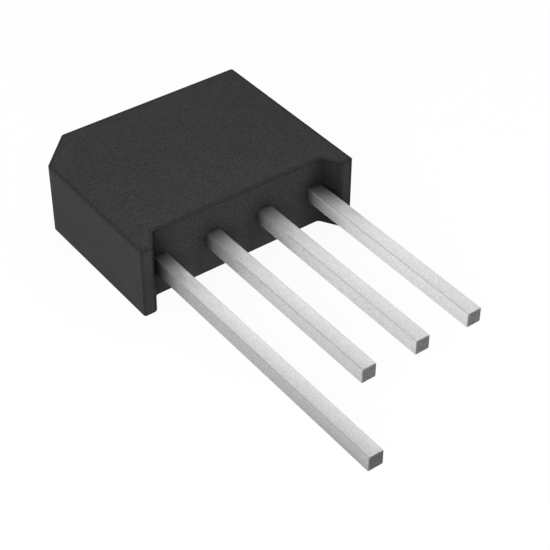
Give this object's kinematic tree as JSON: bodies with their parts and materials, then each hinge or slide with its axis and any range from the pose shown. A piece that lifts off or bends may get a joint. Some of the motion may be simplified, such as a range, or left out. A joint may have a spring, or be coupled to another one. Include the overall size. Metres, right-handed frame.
{
  "type": "bridge rectifier",
  "caption": "Flat black moulded block with one bevelled corner, two stand-off feet and a row of square leads; it turns alternating current into direct current.",
  "frame": {"origin": "middle of the lead row, on the plane of the two foot tips, at mid-thickness", "axes": "+X along the lead row, from the positive lead to the negative lead; +Y from the leads into the body; +Z through the thickness, up from the back face that the part rests on"},
  "size_m": [0.019, 0.0387, 0.006],
  "materials": {
    "moulding_compound": "matte",
    "tinned_copper": "satin",
    "silicon": "polished",
    "solder": "satin"
  },
  "bodies": {
    "root": {"moulded_body": "moulding_compound", "lead_positive": "tinned_copper", "lead_ac_1": "tinned_copper", "lead_ac_2": "tinned_copper", "lead_negative": "tinned_copper", "diode_chip_1": "silicon", "anode_solder_1": "solder", "cathode_solder_1": "solder", "diode_chip_2": "silicon", "anode_solder_2": "solder", "cathode_solder_2": "solder", "diode_chip_3": "silicon", "anode_solder_3": "solder", "cathode_solder_3": "solder", "diode_chip_4": "silicon", "anode_solder_4": "solder", "cathode_solder_4": "solder"}
  },
  "joints": []
}
